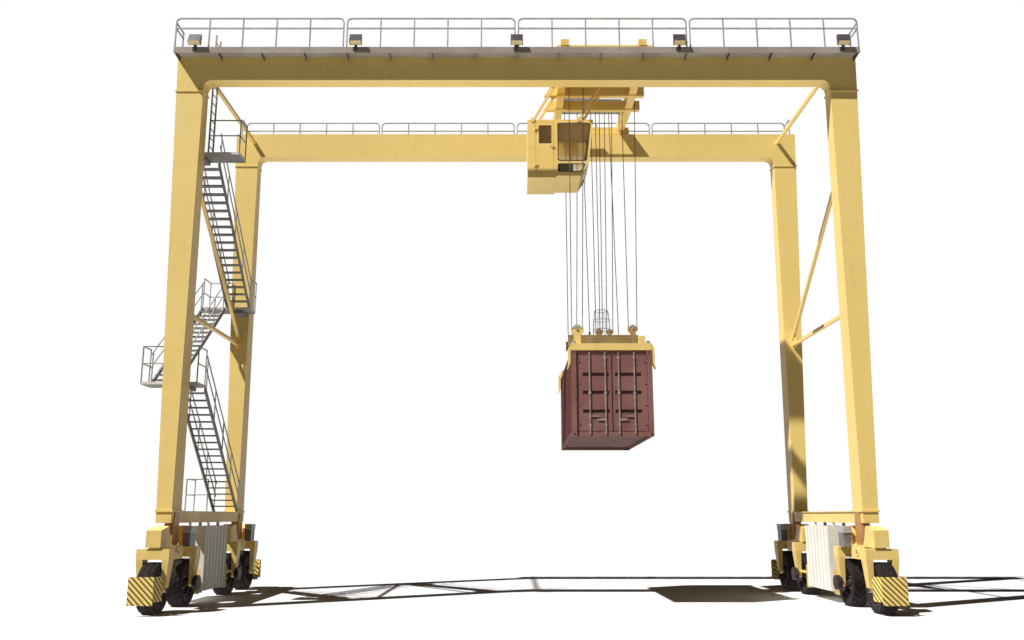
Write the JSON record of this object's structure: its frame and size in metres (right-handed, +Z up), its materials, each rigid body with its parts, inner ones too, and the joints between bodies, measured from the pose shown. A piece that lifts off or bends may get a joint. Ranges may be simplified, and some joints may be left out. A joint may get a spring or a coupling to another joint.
{
  "type": "rubber tyred gantry crane",
  "caption": "Yard gantry crane on steerable rubber tyred wheels, with a trolley, a hanging cab and a spreader that carries a shipping container.",
  "frame": {"origin": "on the ground, below the middle of the bounding box", "axes": "+X across the span to the right, the way the trolley travels; +Y along the crane's own travel, away from the viewer; +Z up"},
  "size_m": [22.1674, 10.31, 18.12],
  "materials": {
    "crane_paint": "satin",
    "rail_steel": "worn",
    "deck_paint": "matt",
    "rail_paint": "satin",
    "tyre": "matt",
    "house_paint": "matt",
    "stair_paint": "matt",
    "lamp_housing": "satin",
    "machine_paint": "satin",
    "window": "gloss",
    "seat_cover": "matt",
    "sheave_steel": "worn",
    "rope": "worn",
    "box_paint": "matt"
  },
  "bodies": {
    "frame": {"brace_left": "crane_paint", "brace_right": "crane_paint", "floodlights": "lamp_housing", "girder_front": "crane_paint", "girder_ladder": "rail_paint", "girder_rear": "crane_paint", "landings": "stair_paint", "leg_front_left": "crane_paint", "leg_front_right": "crane_paint", "leg_rear_left": "crane_paint", "leg_rear_right": "crane_paint", "machine_house_left": "house_paint", "machine_house_right": "house_paint", "pivot_posts": "crane_paint", "railing_front": "rail_paint", "railing_rear": "rail_paint", "sill_left": "crane_paint", "sill_right": "crane_paint", "stair_lower": "stair_paint", "stair_middle": "stair_paint", "stair_upper": "stair_paint", "tie_bars": "crane_paint", "trolley_rails": "rail_steel", "walkway_front": "deck_paint", "walkway_rear": "deck_paint"},
    "beam_front_left": {"wheel_beam_front_left": "crane_paint"},
    "steer_front_left_outer": {"fork_front_left_outer": "crane_paint"},
    "roll_front_left_outer": {"wheel_front_left_outer": "tyre"},
    "steer_front_left_inner": {"fork_front_left_inner": "crane_paint"},
    "roll_front_left_inner": {"wheel_front_left_inner": "tyre"},
    "beam_front_right": {"wheel_beam_front_right": "crane_paint"},
    "steer_front_right_outer": {"fork_front_right_outer": "crane_paint"},
    "roll_front_right_outer": {"wheel_front_right_outer": "tyre"},
    "steer_front_right_inner": {"fork_front_right_inner": "crane_paint"},
    "roll_front_right_inner": {"wheel_front_right_inner": "tyre"},
    "beam_rear_left": {"wheel_beam_rear_left": "crane_paint"},
    "steer_rear_left_outer": {"fork_rear_left_outer": "crane_paint"},
    "roll_rear_left_outer": {"wheel_rear_left_outer": "tyre"},
    "steer_rear_left_inner": {"fork_rear_left_inner": "crane_paint"},
    "roll_rear_left_inner": {"wheel_rear_left_inner": "tyre"},
    "beam_rear_right": {"wheel_beam_rear_right": "crane_paint"},
    "steer_rear_right_outer": {"fork_rear_right_outer": "crane_paint"},
    "roll_rear_right_outer": {"wheel_rear_right_outer": "tyre"},
    "steer_rear_right_inner": {"fork_rear_right_inner": "crane_paint"},
    "roll_rear_right_inner": {"wheel_rear_right_inner": "tyre"},
    "trolley": {"trolley_frame": "crane_paint", "end_carriages": "crane_paint", "hoist_machinery": "machine_paint", "cab_shell": "crane_paint", "cab_glass": "window", "cab_struts": "crane_paint", "driver_seat": "seat_cover", "hoist_ropes": "rope"},
    "door": {"cab_door": "crane_paint", "door_glass": "window"},
    "load": {"spreader_frame": "crane_paint", "sheaves": "sheave_steel", "cable_cage": "rail_paint", "container": "box_paint", "container_doors": "box_paint"}
  },
  "joints": [
    {"name": "rock_front_left", "type": "hinge", "parent": "frame", "child": "beam_front_left", "pos_m": [-9.67125, -3.2, 1.59], "axis": [1, 0, 0], "range_deg": [-3, 3]},
    {"name": "steer_front_left_outer", "type": "hinge", "parent": "beam_front_left", "child": "steer_front_left_outer", "pos_m": [-9.67125, -4.3, 1.71], "axis": [0, 0, 1], "range_deg": [0, 90]},
    {"name": "spin_front_left_outer", "type": "hinge", "parent": "steer_front_left_outer", "child": "roll_front_left_outer", "pos_m": [-9.67125, -4.3, 0.673], "axis": [1, 0, 0], "continuous": true},
    {"name": "steer_front_left_inner", "type": "hinge", "parent": "beam_front_left", "child": "steer_front_left_inner", "pos_m": [-9.67125, -2.1, 1.71], "axis": [0, 0, 1], "range_deg": [-90, 0]},
    {"name": "spin_front_left_inner", "type": "hinge", "parent": "steer_front_left_inner", "child": "roll_front_left_inner", "pos_m": [-9.67125, -2.1, 0.673], "axis": [1, 0, 0], "continuous": true},
    {"name": "rock_front_right", "type": "hinge", "parent": "frame", "child": "beam_front_right", "pos_m": [10.24875, -3.2, 1.59], "axis": [1, 0, 0], "range_deg": [-3, 3]},
    {"name": "steer_front_right_outer", "type": "hinge", "parent": "beam_front_right", "child": "steer_front_right_outer", "pos_m": [10.24875, -4.3, 1.71], "axis": [0, 0, 1], "range_deg": [-90, 0]},
    {"name": "spin_front_right_outer", "type": "hinge", "parent": "steer_front_right_outer", "child": "roll_front_right_outer", "pos_m": [10.24875, -4.3, 0.673], "axis": [1, 0, 0], "continuous": true},
    {"name": "steer_front_right_inner", "type": "hinge", "parent": "beam_front_right", "child": "steer_front_right_inner", "pos_m": [10.24875, -2.1, 1.71], "axis": [0, 0, 1], "range_deg": [0, 90]},
    {"name": "spin_front_right_inner", "type": "hinge", "parent": "steer_front_right_inner", "child": "roll_front_right_inner", "pos_m": [10.24875, -2.1, 0.673], "axis": [1, 0, 0], "continuous": true},
    {"name": "rock_rear_left", "type": "hinge", "parent": "frame", "child": "beam_rear_left", "pos_m": [-9.67125, 3.2, 1.59], "axis": [1, 0, 0], "range_deg": [-3, 3]},
    {"name": "steer_rear_left_outer", "type": "hinge", "parent": "beam_rear_left", "child": "steer_rear_left_outer", "pos_m": [-9.67125, 4.3, 1.71], "axis": [0, 0, 1], "range_deg": [-90, 0]},
    {"name": "spin_rear_left_outer", "type": "hinge", "parent": "steer_rear_left_outer", "child": "roll_rear_left_outer", "pos_m": [-9.67125, 4.3, 0.673], "axis": [1, 0, 0], "continuous": true},
    {"name": "steer_rear_left_inner", "type": "hinge", "parent": "beam_rear_left", "child": "steer_rear_left_inner", "pos_m": [-9.67125, 2.1, 1.71], "axis": [0, 0, 1], "range_deg": [0, 90]},
    {"name": "spin_rear_left_inner", "type": "hinge", "parent": "steer_rear_left_inner", "child": "roll_rear_left_inner", "pos_m": [-9.67125, 2.1, 0.673], "axis": [1, 0, 0], "continuous": true},
    {"name": "rock_rear_right", "type": "hinge", "parent": "frame", "child": "beam_rear_right", "pos_m": [10.24875, 3.2, 1.59], "axis": [1, 0, 0], "range_deg": [-3, 3]},
    {"name": "steer_rear_right_outer", "type": "hinge", "parent": "beam_rear_right", "child": "steer_rear_right_outer", "pos_m": [10.24875, 4.3, 1.71], "axis": [0, 0, 1], "range_deg": [0, 90]},
    {"name": "spin_rear_right_outer", "type": "hinge", "parent": "steer_rear_right_outer", "child": "roll_rear_right_outer", "pos_m": [10.24875, 4.3, 0.673], "axis": [1, 0, 0], "continuous": true},
    {"name": "steer_rear_right_inner", "type": "hinge", "parent": "beam_rear_right", "child": "steer_rear_right_inner", "pos_m": [10.24875, 2.1, 1.71], "axis": [0, 0, 1], "range_deg": [-90, 0]},
    {"name": "spin_rear_right_inner", "type": "hinge", "parent": "steer_rear_right_inner", "child": "roll_rear_right_inner", "pos_m": [10.24875, 2.1, 0.673], "axis": [1, 0, 0], "continuous": true},
    {"name": "trolley_travel", "type": "slide", "parent": "frame", "child": "trolley", "axis": [1, 0, 0], "range_m": [-9, 4.5]},
    {"name": "cab_door_swing", "type": "hinge", "parent": "trolley", "child": "door", "pos_m": [0.90875, -1.624, 14.6], "axis": [0, 0, 1], "range_deg": [-95, 0]},
    {"name": "hoist", "type": "slide", "parent": "trolley", "child": "load", "axis": [0, 0, 1], "range_m": [0, 3.5], "deforming": ["hoist_ropes"]}
  ]
}
